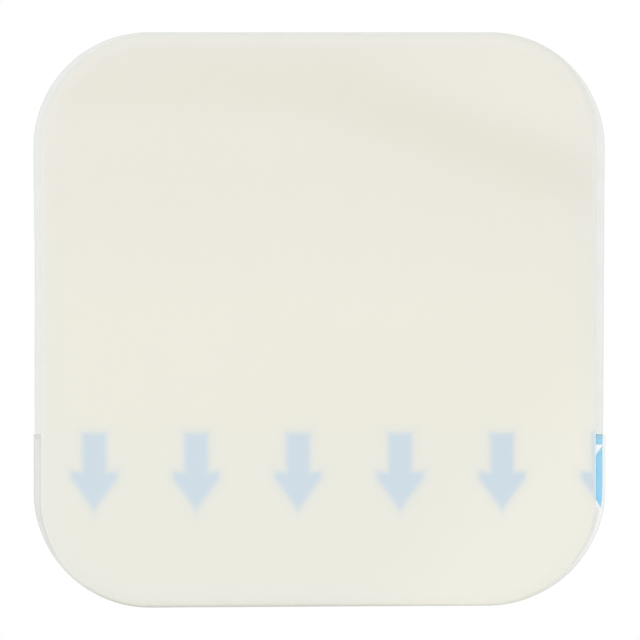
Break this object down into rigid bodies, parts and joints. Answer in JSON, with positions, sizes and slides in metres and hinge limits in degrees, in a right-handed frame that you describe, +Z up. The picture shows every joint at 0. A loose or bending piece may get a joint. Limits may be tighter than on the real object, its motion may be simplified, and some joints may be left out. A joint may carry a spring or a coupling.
{
  "type": "hydrocolloid bandage",
  "caption": "Thin square hydrocolloid bandage with rounded corners, lying film side up on a split clear release liner printed with pale blue peel arrows.",
  "frame": {"origin": "centre of the footprint's bounding box at the surface that the bandage lies on, which is the underside of the release liner", "axes": "+Z up from the liner's underside to the backing film, +Y towards the end of the long liner piece, -Y the way the printed arrows point and the peel tab is pulled"},
  "size_m": [0.1, 0.1006, 0.0006],
  "materials": {
    "film": "clear satin film",
    "hydrocolloid": "translucent cream gel",
    "liner": "clear glossy release film",
    "tab_liner": "clear glossy release film",
    "arrow_ink": "pale blue print"
  },
  "bodies": {
    "root": {"backing_film": "film", "hydrocolloid_layer": "hydrocolloid", "release_liner_long": "liner", "release_liner_tab": "tab_liner", "arrow_print_1": "arrow_ink", "arrow_print_2": "arrow_ink", "arrow_print_3": "arrow_ink", "arrow_print_4": "arrow_ink", "arrow_print_5": "arrow_ink", "arrow_print_6": "arrow_ink"}
  },
  "joints": []
}
